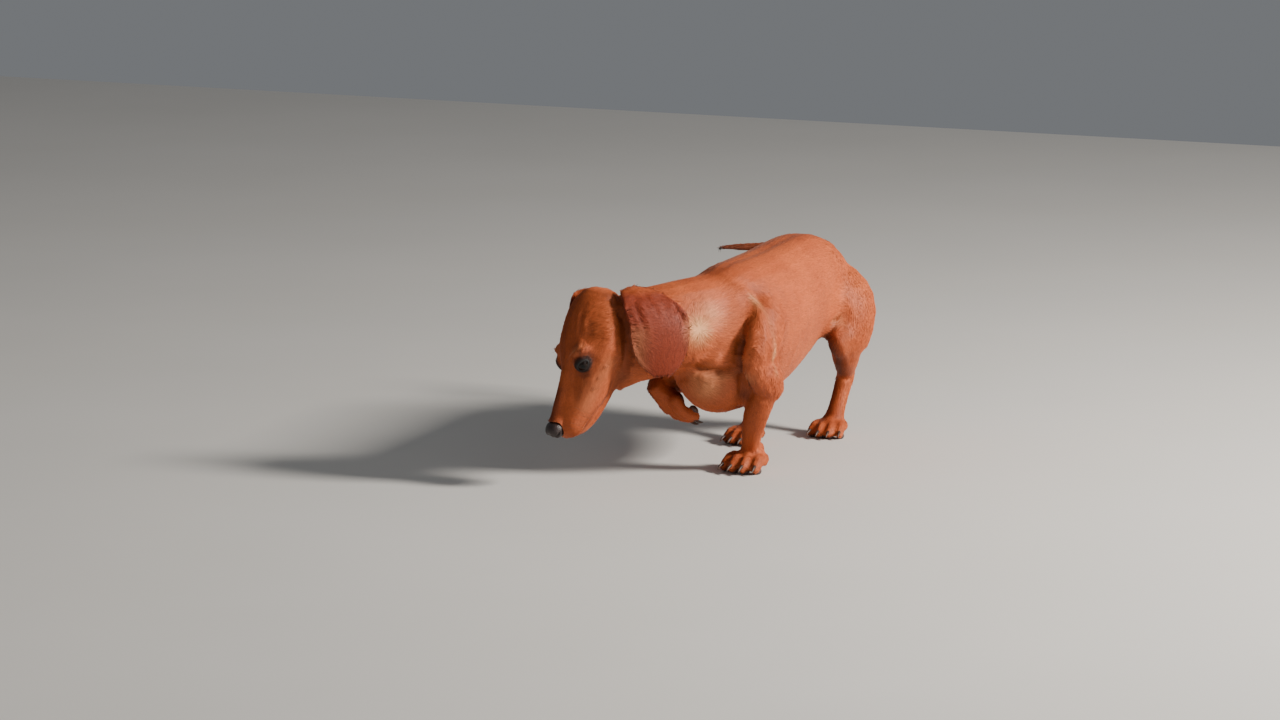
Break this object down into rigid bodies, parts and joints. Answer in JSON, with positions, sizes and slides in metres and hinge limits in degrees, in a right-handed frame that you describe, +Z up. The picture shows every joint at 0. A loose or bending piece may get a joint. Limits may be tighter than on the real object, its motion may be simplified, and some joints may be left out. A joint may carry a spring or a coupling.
{
  "type": "dachshund",
  "caption": "Smooth-haired dachshund at life size, walking with its head down to sniff the ground, one forepaw lifted and the tail level; a still model.",
  "frame": {"origin": "on the floor, under the middle of the box round the animal", "axes": "+X from rump to head along the trunk, +Y to the animal's left, +Z up"},
  "size_m": [0.543, 0.2224, 0.2443],
  "materials": {
    "coat": "short smooth fur, red brown",
    "ear_coat": "short smooth fur, dark mahogany",
    "paw_coat": "short smooth fur, lighter red",
    "nose_leather": "moist pebbled skin, dark brown",
    "eye": "wet, very dark brown",
    "horn": "smooth dark horn"
  },
  "bodies": {
    "root": {"chest": "coat", "abdomen": "coat", "rump": "coat", "head": "coat", "lower_jaw": "coat", "nose": "nose_leather", "eye_left": "eye", "eye_right": "eye", "neck": "coat", "tail": "coat", "ear_left": "ear_coat", "ear_right": "ear_coat", "shoulder_left": "coat", "forearm_left": "coat", "forepaw_left": "paw_coat", "forepaw_left_claw_1": "horn", "forepaw_left_claw_2": "horn", "forepaw_left_claw_3": "horn", "forepaw_left_claw_4": "horn", "shoulder_right": "coat", "forearm_right": "coat", "forepaw_right": "paw_coat", "forepaw_right_claw_1": "horn", "forepaw_right_claw_2": "horn", "forepaw_right_claw_3": "horn", "forepaw_right_claw_4": "horn", "thigh_left": "coat", "hock_left": "coat", "hindpaw_left": "paw_coat", "hindpaw_left_claw_1": "horn", "hindpaw_left_claw_2": "horn", "hindpaw_left_claw_3": "horn", "hindpaw_left_claw_4": "horn", "thigh_right": "coat", "hock_right": "coat", "hindpaw_right": "paw_coat", "hindpaw_right_claw_1": "horn", "hindpaw_right_claw_2": "horn", "hindpaw_right_claw_3": "horn", "hindpaw_right_claw_4": "horn"}
  },
  "joints": []
}
